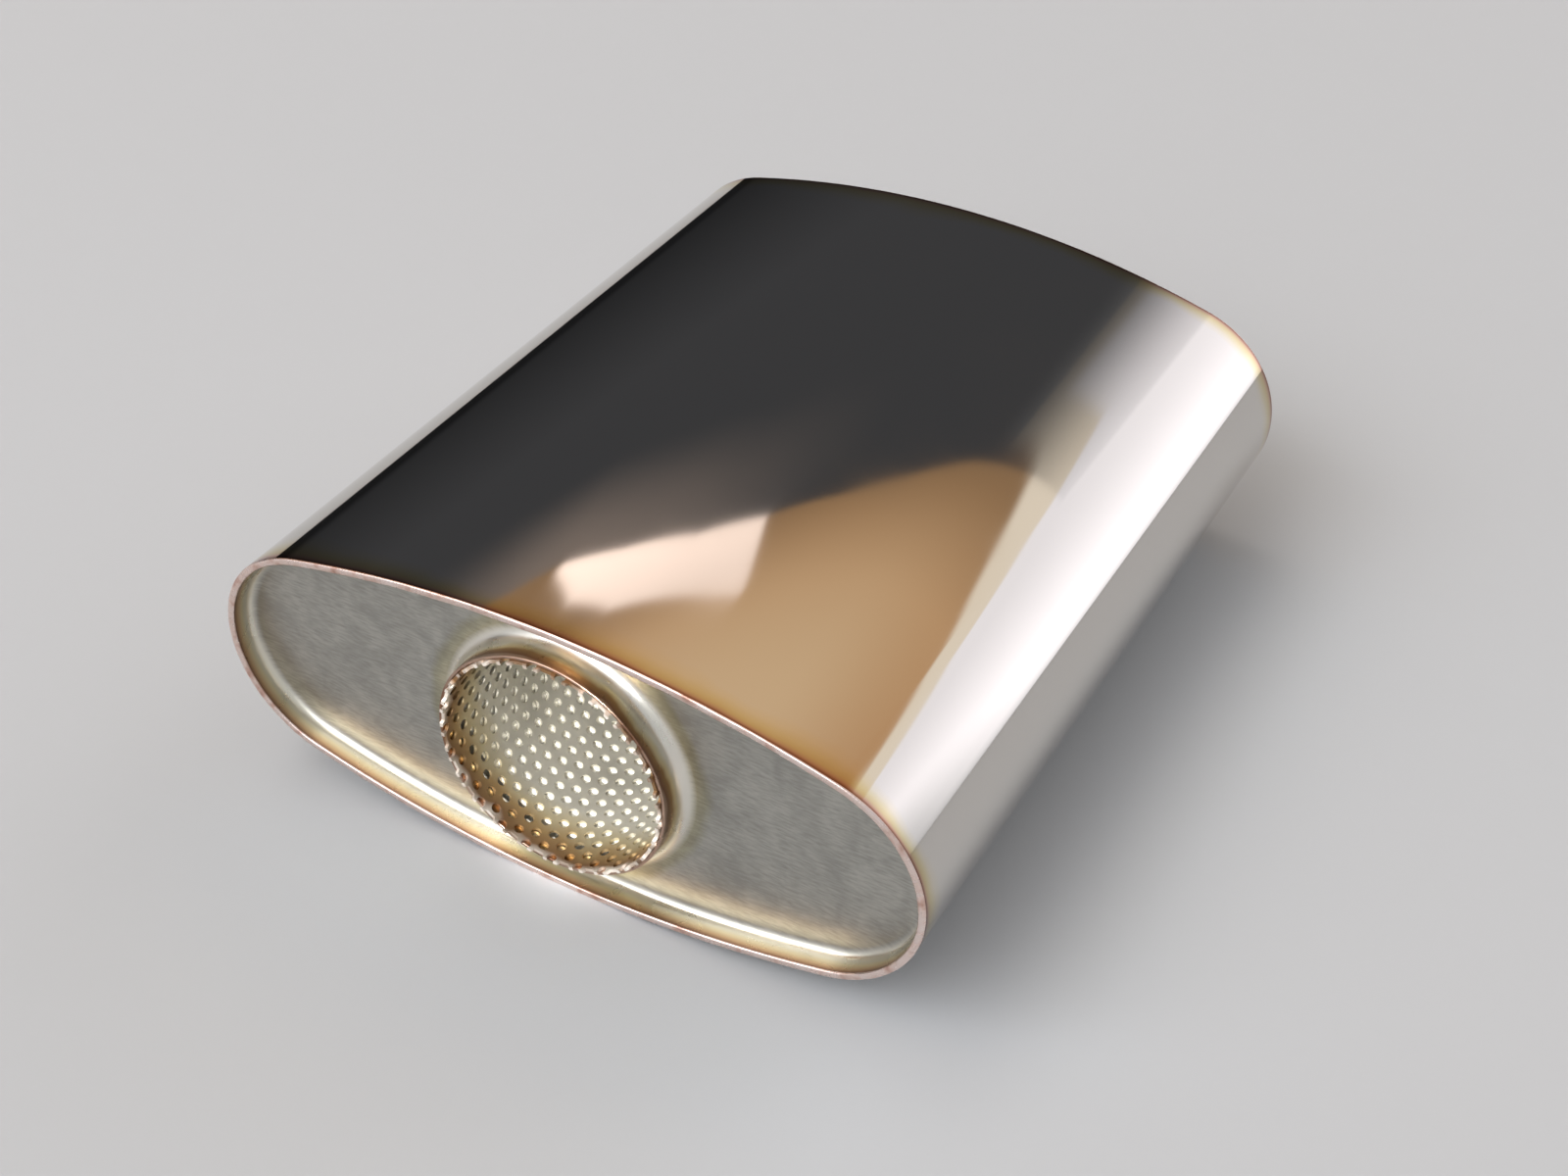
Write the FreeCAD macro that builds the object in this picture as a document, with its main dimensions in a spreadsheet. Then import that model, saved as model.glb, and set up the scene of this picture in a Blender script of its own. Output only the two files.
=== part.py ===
import FreeCAD, Part
import math
import os
import Sketcher

# Straight-through oval muffler, millimetres.
# X runs across the wide oval, Y along the pipe axis with the front mouth at -Y, and Z up.
# The origin is on the ground under the middle of the body, which lies on its broad side.

# Driving dimensions. Each is written once here and read from the sheet everywhere else.
SIZES = [
    ("shell_width", 222.0, "oval body, outside, across its wide axis"),
    ("shell_height", 92.0, "oval body, outside, across its narrow axis"),
    ("shoulder_radius", 36.3, "outside radius of the two tight ends of the oval"),
    ("shell_length", 254.4, "wrapped sheet, from edge to edge along the pipe axis"),
    ("shell_sheet", 1.0, "thickness of the wrapped sheet"),
    ("plate_sheet", 1.0, "thickness of the pressed end plates"),
    ("recess_depth", 7.2, "from the edge of the wrapped sheet down to the face of the end plate"),
    ("corner_radius", 3.0, "inside bend between the plate's face and its flange"),
    ("flange_fit", 0.1, "gap between the plate's flange and the wrapped sheet"),
    ("neck_stand", 2.0, "how far the drawn neck stands beyond the edge of the wrapped sheet"),
    ("flare_radius", 4.0, "inside bend where the plate is drawn out into its neck"),
    ("core_diameter", 70.0, "perforated tube, outside"),
    ("core_wall", 1.0, "wall of the perforated tube"),
    ("core_stand", 3.2, "how far the perforated tube stands beyond the edge of the wrapped sheet"),
    ("core_fit", 0.1, "gap around the perforated tube in the necks"),
    ("hole_width", 3.0, "perforation, across the round hole"),
    ("hole_pitch", 5.0, "from one perforation to the next along the tube"),
    ("hole_setback", 1.0, "from the tube's end to the centre of the first, cut-through, ring"),
    ("packing_fit", 0.1, "gap left around the packing"),
    ("bead_height", 0.8, "how far the rim weld stands beyond the sheet edges"),
    ("bead_spread", 0.2, "how far the rim weld rolls over the flange's inner side"),
    ("seam_width", 3.0, "lengthwise weld that closes the wrapped sheet"),
    ("seam_height", 0.35, "how far that weld stands proud of the sheet"),
    ("seam_offset", 40.0, "from the middle of the underside to that weld, towards -X"),
]

# Holes counted around the tube in one ring; the next ring is turned by half a step.
HOLES_IN_RING = 25
# The real tube is perforated from end to end with round holes. One staggered pair of rings is cut
# at each mouth, where it shows, and each hole has this many sides.
HOLE_SIDES = 6
# The perforating cut starts level with the tube's underside, so it is deeper than the wall by this factor.
BREAK_THROUGH = 1.5
# A flat that stands for a quarter-round bend of radius 1 runs this far along each of its two sides.
BEND_SHARE = 0.586
# The bends at the neck and at the flange each take at most this share of the face left between them.
FACE_SHARE = 0.45

doc = FreeCAD.newDocument("muffler")
sheet = doc.addObject("Spreadsheet::Sheet", "sizes")
for row, (name, value, meaning) in enumerate(SIZES, start=1):
    sheet.set(f"A{row}", name)
    sheet.set(f"B{row}", str(value))
    sheet.set(f"C{row}", meaning)
    sheet.setAlias(f"B{row}", name)
doc.recompute()

size = {name: float(sheet.get(name)) for name, _, _ in SIZES}

# Expressions that several features share, in terms of the sheet.
CENTRE = "(sizes.shell_width / 2 - sizes.shoulder_radius)"
BROAD = (
    f"(({CENTRE} ^ 2 + sizes.shell_height ^ 2 / 4 - sizes.shoulder_radius ^ 2)"
    " / (sizes.shell_height - 2 * sizes.shoulder_radius))"
)
FLANGE_INSET = "(sizes.shell_sheet + sizes.flange_fit)"
RIM = "(sizes.shell_length / 2)"
FACE = f"({RIM} - sizes.recess_depth)"
NECK_BORE = "(sizes.core_diameter / 2 + sizes.core_fit)"
NECK_TO_FLANGE = f"(sizes.shell_height / 2 - {FLANGE_INSET} - {NECK_BORE} - 2 * sizes.plate_sheet)"


def oval_numbers():
    """Centre offset of the tight arcs, radius of the broad arcs and the angle where they meet."""
    centre = size["shell_width"] / 2 - size["shoulder_radius"]
    half = size["shell_height"] / 2
    broad = (centre**2 + half**2 - size["shoulder_radius"] ** 2) / (2 * (half - size["shoulder_radius"]))
    return centre, broad, math.atan2(broad - half, centre)


def make_body(label):
    """A sub-part lifted so that the pipe axis lies half the oval's height above the ground."""
    body = doc.addObject("PartDesign::Body", label)
    body.Label = label
    body.setExpression("Placement.Base.z", "sizes.shell_height / 2")
    return body


def origin_plane(body, role):
    return next(f for f in body.Origin.OriginFeatures if f.Role == role)


def make_sketch(body, name, role="XZ_Plane", offset=None):
    """An empty sketch on one of the body's own planes; offset is an expression along its normal."""
    sketch = body.newObject("Sketcher::SketchObject", name)
    sketch.AttachmentSupport = [(origin_plane(body, role), "")]
    sketch.MapMode = "FlatFace"
    if offset:
        sketch.setExpression("AttachmentOffset.Base.z", offset)
    return sketch


def bind(sketch, constraint, expression):
    """Add a constraint and drive its value from the sheet."""
    index = sketch.addConstraint(constraint)
    sketch.setExpression(f"Constraints[{index}]", expression)


def add_circle(sketch, radius, guess):
    """A circle about the pipe axis."""
    up = FreeCAD.Vector(0, 0, 1)
    circle = sketch.addGeometry(Part.Circle(FreeCAD.Vector(0, 0, 0), up, guess), False)
    sketch.addConstraint(Sketcher.Constraint("Coincident", circle, 3, -1, 1))
    bind(sketch, Sketcher.Constraint("Radius", circle, guess), radius)


def add_oval(sketch, inset, depth):
    """A closed loop of two tight and two broad tangent arcs, set in from the outside by depth."""
    centre, broad, turn = oval_numbers()
    tight = size["shoulder_radius"] - depth
    wide = broad - depth
    drop = broad - size["shell_height"] / 2
    up = FreeCAD.Vector(0, 0, 1)
    spans = [
        (centre, 0, tight, -turn, turn),
        (0, -drop, wide, turn, math.pi - turn),
        (-centre, 0, tight, math.pi - turn, math.pi + turn),
        (0, drop, wide, math.pi + turn, 2 * math.pi - turn),
    ]
    right, top, left, bottom = [
        sketch.addGeometry(Part.ArcOfCircle(Part.Circle(FreeCAD.Vector(x, z, 0), up, r), a, b), False)
        for x, z, r, a, b in spans
    ]
    for first, second in [(right, top), (top, left), (left, bottom), (bottom, right)]:
        sketch.addConstraint(Sketcher.Constraint("Tangent", first, 2, second, 1))
    sketch.addConstraint(Sketcher.Constraint("PointOnObject", right, 3, -1))
    sketch.addConstraint(Sketcher.Constraint("Symmetric", right, 3, left, 3, -1, 1))
    sketch.addConstraint(Sketcher.Constraint("Equal", right, left))
    sketch.addConstraint(Sketcher.Constraint("Equal", top, bottom))
    bind(sketch, Sketcher.Constraint("Radius", right, tight), f"sizes.shoulder_radius - {inset}")
    bind(sketch, Sketcher.Constraint("Radius", top, wide), f"{BROAD} - {inset}")
    bind(sketch, Sketcher.Constraint("DistanceX", -1, 1, right, 3, centre), CENTRE)


def add_extrusion(body, kind, name, sketch, length, towards_front=False, midplane=False):
    """A pad or pocket of the sketch, whose plane faces the front, by an expression for its length."""
    feature = body.newObject(f"PartDesign::{kind}", name)
    feature.Profile = sketch
    feature.setExpression("Length", length)
    if midplane:
        feature.SideType = "Symmetric"
    elif kind == "Pad":
        feature.Reversed = not towards_front
    return feature


def bevel_edges(body, name, base, radius, chosen):
    """Turn a sharp corner of the base feature into one flat that follows a bend of this radius."""
    doc.recompute()
    names = [
        f"Edge{i}"
        for i, edge in enumerate(base.Shape.Edges, start=1)
        if all(chosen(p) for p in edge.discretize(9))
    ]
    if not names:
        raise RuntimeError(f"{name} finds no edge to bevel")
    bevel = body.newObject("PartDesign::Chamfer", name)
    bevel.Base = (base, names)
    bevel.setExpression("Size", f"min({BEND_SHARE} * ({radius}); {FACE_SHARE} * {NECK_TO_FLANGE})")
    return bevel


def near(value, target):
    return abs(value - target) < 0.001


def off_axis(point):
    return math.hypot(point.x, point.z)


def build_shell():
    """Sheet wrapped to an oval and closed by the seam weld."""
    body = make_body("shell")
    section = make_sketch(body, "shell_section")
    add_oval(section, "0", 0)
    add_oval(section, "sizes.shell_sheet", size["shell_sheet"])
    add_extrusion(body, "Pad", "shell_wrap", section, "sizes.shell_length", midplane=True)
    return body


def build_end_plate(label, turned):
    """Pressed plate: a flange along the shell's inside, a recessed face and a drawn neck."""
    body = make_body(label)
    flange_inset = size["shell_sheet"] + size["flange_fit"]
    rim = size["shell_length"] / 2
    face = rim - size["recess_depth"]
    neck_bore = size["core_diameter"] / 2 + size["core_fit"]
    neck_outside = neck_bore + size["plate_sheet"]

    blank = make_sketch(body, "blank_outline", offset=RIM)
    add_oval(blank, FLANGE_INSET, flange_inset)
    add_extrusion(body, "Pad", "pressing", blank, "sizes.recess_depth + sizes.plate_sheet")

    tray = make_sketch(body, "tray_outline", offset=RIM)
    add_oval(tray, f"({FLANGE_INSET} + sizes.plate_sheet)", flange_inset + size["plate_sheet"])
    add_extrusion(body, "Pocket", "tray", tray, "sizes.recess_depth")

    neck = make_sketch(body, "neck_outline", offset=FACE)
    add_circle(neck, f"{NECK_BORE} + sizes.plate_sheet", neck_outside)
    add_extrusion(body, "Pad", "neck", neck, "sizes.recess_depth + sizes.neck_stand", towards_front=True)

    mouth = make_sketch(body, "mouth_outline", offset=f"{RIM} + sizes.neck_stand")
    add_circle(mouth, NECK_BORE, neck_bore)
    depth = "sizes.neck_stand + sizes.recess_depth + sizes.plate_sheet"
    drawn = add_extrusion(body, "Pocket", "mouth", mouth, depth)

    def neck_root(p):
        return near(p.y, -face) and near(off_axis(p), neck_outside)

    def tray_corner(p):
        return near(p.y, -face) and off_axis(p) > neck_outside + flared.Size.Value + 0.001

    flared = bevel_edges(body, "flare", drawn, "sizes.flare_radius", neck_root)
    doc.recompute()
    bevel_edges(body, "tray_bend", flared, "sizes.corner_radius", tray_corner)
    if turned:
        body.Placement.Rotation = FreeCAD.Rotation(FreeCAD.Vector(0, 0, 1), 180)
    return body


def add_hole(sketch, centre, x_expression, y_expression):
    """A regular polygon with the area of the round perforation that it stands for."""
    swell = math.sqrt(2 * math.pi / (HOLE_SIDES * math.sin(2 * math.pi / HOLE_SIDES)))
    corner = size["hole_width"] / 2 * swell
    up = FreeCAD.Vector(0, 0, 1)
    middle = FreeCAD.Vector(centre[0], centre[1], 0)
    turns = [math.pi * (0.5 + 2 * i / HOLE_SIDES) for i in range(HOLE_SIDES)]
    points = [middle + FreeCAD.Vector(math.cos(t), math.sin(t), 0) * corner for t in turns]
    ring = sketch.addGeometry(Part.Circle(middle, up, corner), True)
    bind(sketch, Sketcher.Constraint("Radius", ring, corner), f"sizes.hole_width / 2 * {swell:.6f}")
    sides = [
        sketch.addGeometry(Part.LineSegment(p, q), False) for p, q in zip(points, points[1:] + points[:1])
    ]
    for first, second in zip(sides, sides[1:] + sides[:1]):
        sketch.addConstraint(Sketcher.Constraint("Coincident", first, 2, second, 1))
        sketch.addConstraint(Sketcher.Constraint("PointOnObject", first, 1, ring))
    for side in sides[1:]:
        sketch.addConstraint(Sketcher.Constraint("Equal", sides[0], side))
    sketch.addConstraint(Sketcher.Constraint("Vertical", ring, 3, sides[0], 1))
    bind(sketch, Sketcher.Constraint("DistanceX", -1, 1, ring, 3, centre[0]), x_expression)
    bind(sketch, Sketcher.Constraint("DistanceY", -1, 1, ring, 3, centre[1]), y_expression)


def build_core():
    """Perforated tube through both necks, its ends cut across a ring of holes."""
    body = make_body("perforated_core")
    outside = size["core_diameter"] / 2
    bore = outside - size["core_wall"]
    section = make_sketch(body, "core_section")
    add_circle(section, "sizes.core_diameter / 2", outside)
    add_circle(section, "sizes.core_diameter / 2 - sizes.core_wall", bore)
    length = "sizes.shell_length + 2 * sizes.core_stand"
    add_extrusion(body, "Pad", "core_tube", section, length, midplane=True)

    pair = make_sketch(body, "perforation_pair", "XY_Plane", offset="-sizes.core_diameter / 2")
    end = "(sizes.shell_length / 2 + sizes.core_stand)"
    aside = f"(sizes.core_diameter / 2 * sin(180 / {HOLES_IN_RING}))"
    start = size["shell_length"] / 2 + size["core_stand"] - size["hole_setback"]
    across = outside * math.sin(math.pi / HOLES_IN_RING)
    add_hole(pair, (0.0, -start), "0", f"-{end} + sizes.hole_setback")
    stagger = f"-{end} + sizes.hole_setback + sizes.hole_pitch / 2"
    add_hole(pair, (across, -start + size["hole_pitch"] / 2), aside, stagger)
    cut = add_extrusion(body, "Pocket", "perforation", pair, f"sizes.core_wall * {BREAK_THROUGH}")
    cut.Reversed = True
    doc.recompute()

    rings = doc.addObject("PartDesign::PolarPattern", "rings_around")
    rings.Axis = (origin_plane(body, "Y_Axis"), [""])
    rings.Angle = 360.0
    rings.Occurrences = HOLES_IN_RING
    other_end = doc.addObject("PartDesign::Mirrored", "other_end")
    other_end.MirrorPlane = (origin_plane(body, "XZ_Plane"), [""])
    holes = body.newObject("PartDesign::MultiTransform", "perforations")
    holes.Originals = [cut]
    for step in (rings, other_end):
        body.addObject(step)
    holes.Transformations = [rings, other_end]
    body.Tip = holes
    return body


def build_packing():
    """Fibre packed between the perforated tube, the wrapped sheet and the two end plates."""
    body = make_body("fibre_packing")
    inset = size["shell_sheet"] + size["packing_fit"]
    section = make_sketch(body, "packing_section")
    add_oval(section, "(sizes.shell_sheet + sizes.packing_fit)", inset)
    bore = size["core_diameter"] / 2 + size["packing_fit"]
    add_circle(section, "sizes.core_diameter / 2 + sizes.packing_fit", bore)
    length = f"2 * ({FACE} - sizes.plate_sheet - sizes.packing_fit)"
    add_extrusion(body, "Pad", "packing_mat", section, length, midplane=True)
    return body


def build_rim_weld(label, turned):
    """Fused bead along the rim, over the edges of the wrapped sheet and of the plate's flange."""
    body = make_body(label)
    width = f"({FLANGE_INSET} + sizes.plate_sheet + sizes.bead_spread)"
    inset = size["shell_sheet"] + size["flange_fit"] + size["plate_sheet"] + size["bead_spread"]
    outline = make_sketch(body, "bead_outline", offset=RIM)
    add_oval(outline, "0", 0)
    add_oval(outline, width, inset)
    add_extrusion(body, "Pad", "bead", outline, "sizes.bead_height", towards_front=True)
    if turned:
        body.Placement.Rotation = FreeCAD.Rotation(FreeCAD.Vector(0, 0, 1), 180)
    return body


def build_seam_weld():
    """Lengthwise bead on the underside, where the wrapped sheet's two edges meet."""
    body = make_body("shell_seam_weld")
    _, broad, _ = oval_numbers()
    drop = broad - size["shell_height"] / 2
    half = size["seam_width"] / 2
    low, high = -size["seam_offset"] - half, -size["seam_offset"] + half
    up = FreeCAD.Vector(0, 0, 1)

    def under(x):
        return FreeCAD.Vector(x, drop - math.sqrt(broad**2 - x**2), 0)

    section = make_sketch(body, "seam_section")
    foot = Part.Circle(FreeCAD.Vector(0, drop, 0), up, broad)
    foot_angles = [math.atan2(under(x).y - drop, x) for x in (low, high)]
    sheet_arc = section.addGeometry(Part.ArcOfCircle(foot, *foot_angles), False)
    middle = under(-size["seam_offset"])
    crown = middle + (middle - FreeCAD.Vector(0, drop, 0)).normalize() * size["seam_height"]
    bead_arc = section.addGeometry(Part.Arc(under(low), crown, under(high)), False)
    bead = section.Geometry[bead_arc]
    section.addConstraint(Sketcher.Constraint("Coincident", sheet_arc, 1, bead_arc, 1))
    section.addConstraint(Sketcher.Constraint("Coincident", sheet_arc, 2, bead_arc, 2))
    section.addConstraint(Sketcher.Constraint("PointOnObject", sheet_arc, 3, -2))
    bind(section, Sketcher.Constraint("Radius", sheet_arc, broad), BROAD)
    bind(section, Sketcher.Constraint("DistanceY", -1, 1, sheet_arc, 3, drop), f"{BROAD} - sizes.shell_height / 2")
    swell = "(sizes.seam_width ^ 2 / 4 + sizes.seam_height ^ 2) / (2 * sizes.seam_height)"
    bind(section, Sketcher.Constraint("Radius", bead_arc, bead.Radius), swell)
    left = Sketcher.Constraint("DistanceX", sheet_arc, 1, -1, 1, -low)
    bind(section, left, "sizes.seam_offset + sizes.seam_width / 2")
    right = Sketcher.Constraint("DistanceX", sheet_arc, 2, -1, 1, -high)
    bind(section, right, "sizes.seam_offset - sizes.seam_width / 2")
    add_extrusion(body, "Pad", "seam_bead", section, "sizes.shell_length", midplane=True)
    return body


def check(bodies):
    """Stop before anything is written if a feature failed or a shape is empty, invalid or in pieces."""
    failed = [o.Name for o in doc.Objects if {"Invalid", "Error"} & set(o.State)]
    if failed:
        raise RuntimeError(f"features that failed: {failed}")
    for body in bodies:
        shape = body.Shape
        if shape.isNull() or not shape.isValid() or len(shape.Solids) != 1:
            raise RuntimeError(f"{body.Label} is not one valid solid")


def main():
    bodies = [
        build_shell(),
        build_end_plate("front_end_plate", turned=False),
        build_end_plate("rear_end_plate", turned=True),
        build_core(),
        build_packing(),
        build_rim_weld("front_rim_weld", turned=False),
        build_rim_weld("rear_rim_weld", turned=True),
        build_seam_weld(),
    ]
    doc.recompute()
    check(bodies)
    os.makedirs("parts", exist_ok=True)
    for body in bodies:
        body.Shape.exportStep(f"parts/{body.Label}.step")
        box = body.Shape.optimalBoundingBox()
        spans = [f"{low:.2f} to {high:.2f}" for low, high in (
            (box.XMin, box.XMax), (box.YMin, box.YMax), (box.ZMin, box.ZMax))]
        print(f"{body.Label}: {body.Shape.Volume:.0f} mm3, X {spans[0]}, Y {spans[1]}, Z {spans[2]}")


main()
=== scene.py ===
# %% [markdown]
# # A straight-through oval muffler
# The real object is a universal exhaust muffler: polished stainless sheet wrapped to an oval, a pressed plate at
# each end, and a perforated tube that runs from mouth to mouth through packed fibre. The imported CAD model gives
# the size and place of each piece. Here each piece is built again as a smooth surface, because polished metal
# shows every facet, and each finish gets a material of its own.

# %% Load the frame
import math

import bmesh
import bpy
import numpy as np
from mathutils import Matrix, Vector


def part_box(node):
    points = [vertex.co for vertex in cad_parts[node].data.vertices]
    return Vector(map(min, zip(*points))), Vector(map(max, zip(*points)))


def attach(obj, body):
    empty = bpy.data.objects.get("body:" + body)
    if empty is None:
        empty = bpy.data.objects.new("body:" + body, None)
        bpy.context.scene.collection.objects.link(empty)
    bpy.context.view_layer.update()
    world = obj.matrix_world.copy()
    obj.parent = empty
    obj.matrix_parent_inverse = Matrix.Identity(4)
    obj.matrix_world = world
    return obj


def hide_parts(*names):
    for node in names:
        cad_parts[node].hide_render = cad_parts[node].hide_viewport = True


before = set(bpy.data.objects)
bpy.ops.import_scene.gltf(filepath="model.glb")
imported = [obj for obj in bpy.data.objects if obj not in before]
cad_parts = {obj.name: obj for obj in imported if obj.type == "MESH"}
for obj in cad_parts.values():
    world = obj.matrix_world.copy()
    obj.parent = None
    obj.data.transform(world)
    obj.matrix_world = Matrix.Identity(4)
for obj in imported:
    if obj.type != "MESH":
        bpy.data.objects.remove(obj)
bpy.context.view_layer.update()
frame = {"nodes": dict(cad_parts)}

print("nodes:", ", ".join(frame["nodes"]))

# %% [markdown]
# ## Sizes
# Sizes are in millimetres, as on a drawing, and become metres only when a mesh is made. The outside sizes are
# read from the CAD pieces, so this script follows them. What a box can't tell is written here: the tube, the
# shoulder, the sheet with its gap, the bends and the holes. Only the camera and the studio are in metres.

# %% Sizes from the CAD pieces


def box_mm(name):
    """Lowest and highest corner of a CAD node, in mm."""
    return [np.array(corner) * 1000 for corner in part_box(name)]


shell_side, RIM, shell_top = box_mm("shell")[1]

# A box carries the rounding of 32-bit numbers, which is taken off the oval's own two sizes.
HALF_WIDTH = round(float(shell_side), 3)
HALF_HEIGHT = round(float(shell_top), 3) / 2
AXIS_HEIGHT = HALF_HEIGHT
CORE_END = box_mm("perforated_core")[1][1]
PLATE_BACK, NECK_END = (corner[1] for corner in box_mm("rear_end_plate"))
BEAD_END = box_mm("rear_rim_weld")[1][1]
FIBRE_END = box_mm("fibre_packing")[1][1]
CORE_RADIUS = 35.0
SHOULDER_RADIUS = 36.3
SHEET = 1.0
FIT = 0.1
CORNER_RADIUS = 3.1
FLARE_RADIUS = 4.5
HOLE_WIDTH = 3.0
print(f"half width {HALF_WIDTH}, half height {HALF_HEIGHT}, rim {RIM:.2f}, end of the bead {BEAD_END:.2f} mm")
print(f"core end {CORE_END:.2f}, neck end {NECK_END:.2f}, back of plate {PLATE_BACK:.2f} mm")

# %% [markdown]
# ## Camera
# The photograph was taken from above and to the right of the front mouth, with a lens near 50 mm. The camera's
# place and its two axes come from fitting the outlines of the rims and of the tube's mouth in perspective.

# %% Camera
CAMERA_PLACE = Vector((0.2494, -0.4707, 0.4481))
CAMERA_LOOK = Vector((-0.3645, 0.6880, -0.6275)).normalized()
CAMERA_UP = Vector((-0.3284, 0.5356, 0.7780)).normalized()
LENS = 49.88
SENSOR_WIDTH = 36.0

camera_right = CAMERA_LOOK.cross(CAMERA_UP).normalized()
camera_up = camera_right.cross(CAMERA_LOOK)
turn = Matrix((camera_right, camera_up, -CAMERA_LOOK)).transposed()
camera_data = bpy.data.cameras.new("camera")
camera_data.lens = LENS
camera_data.sensor_width = SENSOR_WIDTH
camera = bpy.data.objects.new("camera", camera_data)
camera.matrix_world = Matrix.Translation(CAMERA_PLACE) @ turn.to_4x4()
bpy.context.collection.objects.link(camera)
bpy.context.scene.camera = camera
bpy.context.scene.view_settings.view_transform = "Standard"
print(f"the camera is {CAMERA_PLACE.length:.3f} m from the point on the ground under the middle of the body")

# %% [markdown]
# ## Two helpers for materials
# Colours are written as sRGB hex, the way a paint programme shows them, but a shader counts light, so one
# function turns them to linear. Node trees are built in code with one small function that adds any node, sets
# its properties and fills its inputs with a number or a link.

# %% Colour and node helpers


def linear(hex_colour):
    """An sRGB hex colour as linear RGBA: c / 12.92 near black, else ((c + 0.055) / 1.055) to the power 2.4."""
    c = np.array([int(hex_colour[i : i + 2], 16) for i in (1, 3, 5)]) / 255
    return (*np.where(c > 0.04045, ((c + 0.055) / 1.055) ** 2.4, c / 12.92), 1.0)


def add_node(tree, kind, inputs=None, stops=None, **properties):
    """Add one node. inputs maps a socket to a number or to the socket that feeds it; stops fill a colour ramp."""
    made = tree.nodes.new("ShaderNode" + kind)
    for name, value in properties.items():
        setattr(made, name, value)
    for name, value in (inputs or {}).items():
        if isinstance(value, bpy.types.NodeSocket):
            tree.links.new(value, made.inputs[name])
        else:
            made.inputs[name].default_value = value
    for i, (place, colour) in enumerate(stops or []):
        elements = made.color_ramp.elements
        element = elements[i] if i < 2 else elements.new(place)
        element.position = place
        element.color = linear(colour)
    return made


def new_material(name):
    """An empty node material and its tree."""
    made = bpy.data.materials.new(name)
    made.use_nodes = True
    made.node_tree.nodes.clear()
    return made, made.node_tree


# %% [markdown]
# ## Studio
# A photographer lights polished metal with what it mirrors. Here the metal mirrors a pale room and nine big
# glowing cards that stand round the floor. The camera sees the room, which has the floor's own colour, but not
# the cards. Lamps could give the light too, but each would show in the polish as a hard bright block, so the one
# lamp is a small spot that shines into the front mouth and shows the fibre white in the holes.

# %% Room and floor
FLOOR_COLOUR = "#c7c9cb"
ROOM_LIGHT = 0.47
FLOOR_RADIUS = 11.5
FLOOR_SIDES = 96

# Light Path tells what a ray looks for. The camera, a mirror and glass get strength 1, so they see the floor's
# colour as it is written, and matt things are lit with ROOM_LIGHT.
world = bpy.data.worlds.new("pale_room")
world.use_nodes = True
tree = world.node_tree
rays = add_node(tree, "LightPath")
seen = rays.outputs["Is Camera Ray"]
for kind in ("Is Glossy Ray", "Is Transmission Ray"):
    seen = add_node(tree, "Math", {0: seen, 1: rays.outputs[kind]}, operation="MAXIMUM").outputs[0]
strength = add_node(tree, "MapRange", {"Value": seen, "To Min": ROOM_LIGHT, "To Max": 1.0}).outputs[0]
background = tree.nodes["Background"]
background.inputs["Color"].default_value = linear(FLOOR_COLOUR)
tree.links.new(strength, background.inputs["Strength"])
bpy.context.scene.world = world

floor_mesh = bpy.data.meshes.new("floor")
floor_turns = np.linspace(0, 2 * math.pi, FLOOR_SIDES, endpoint=False)
floor_ring = FLOOR_RADIUS * np.stack([np.cos(floor_turns), np.sin(floor_turns), 0 * floor_turns], axis=-1)
floor_mesh.from_pydata(floor_ring, [], [range(floor_turns.size)])
floor = bpy.data.objects.new("floor", floor_mesh)
bpy.context.collection.objects.link(floor)
floor_material, tree = new_material("matt_painted_board")
shader = add_node(tree, "BsdfPrincipled", {"Base Color": linear(FLOOR_COLOUR), "Roughness": 0.85})
add_node(tree, "OutputMaterial", {"Surface": shader.outputs["BSDF"]})
floor_mesh.materials.append(floor_material)
print(f"floor {2 * FLOOR_RADIUS} m across, room light {ROOM_LIGHT}")

# %% Spot into the front mouth
MOUTH = Vector((0.0, -0.13, 0.046))
SPOT_SIDE = Vector((0.12, -0.85, 0.50)).normalized()
SPOT_DISTANCE = 1.0
SPOT_WATTS = 130.0
SPOT_CONE = 4.4
SPOT_RADIUS = 0.012

spot_data = bpy.data.lights.new("mouth_spot", "SPOT")
spot_data.energy = SPOT_WATTS
spot_data.spot_size = math.radians(SPOT_CONE)
spot_data.spot_blend = 0.5
spot_data.shadow_soft_size = SPOT_RADIUS
spot = bpy.data.objects.new("mouth_spot", spot_data)
spot.location = MOUTH + SPOT_DISTANCE * SPOT_SIDE
spot.rotation_euler = (MOUTH - spot.location).to_track_quat("-Z", "Y").to_euler()
spot.visible_camera = False
bpy.context.collection.objects.link(spot)
print(f"the spot lights a circle {2000 * SPOT_DISTANCE * math.tan(math.radians(SPOT_CONE) / 2):.0f} mm across")

# %% [markdown]
# A card is a patch of a sphere round the floor. Its edges are written as angles: the compass angle from +Y
# towards +X, and the height angle above the ground. Its glow fades out at its edges, because a card with sharp
# edges looks cut out when polished metal mirrors it.

# %% One card
CARD_COLUMNS = 121
CARD_ROWS = 21
LEAST_FEATHER = 0.001


def grid_quads(rows, columns, wrap_rows=True, wrap_columns=True):
    """Corners of each cell of a grid, which may close on itself both ways: row r, column c is r * columns + c."""
    r = np.arange(rows if wrap_rows else rows - 1)[:, None]
    c = np.arange(columns if wrap_columns else columns - 1)[None, :]
    right, up = (c + 1) % columns, (r + 1) % rows
    cells = [r * columns + c, r * columns + right, up * columns + right, up * columns + c]
    return np.stack([np.broadcast_to(x, (r.size, c.size)) for x in cells], axis=-1).reshape(-1, 4)


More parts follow.
